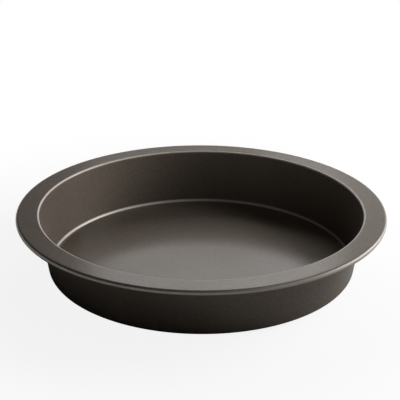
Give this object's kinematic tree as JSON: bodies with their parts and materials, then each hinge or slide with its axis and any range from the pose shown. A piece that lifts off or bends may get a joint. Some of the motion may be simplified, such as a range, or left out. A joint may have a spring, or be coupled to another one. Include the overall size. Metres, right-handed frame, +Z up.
{
  "type": "round cake tin",
  "caption": "Round cake tin of dark coated steel: flat floor, slightly flared wall and a wide flat rim whose edge is rolled over a stiffening wire.",
  "frame": {"origin": "centre of the underside of the base, where the tin rests", "axes": "+Z up along the tin's axis of revolution, out of its mouth; -Y faces the viewer and +X is to the right in the picture"},
  "size_m": [0.26, 0.26, 0.0425],
  "materials": {
    "coated_steel": "satin dark bronze-grey non-stick coating on drawn sheet steel",
    "bare_wire": "dull drawn steel wire"
  },
  "bodies": {
    "root": {"pan_body": "coated_steel", "rim_wire": "bare_wire"}
  },
  "joints": []
}
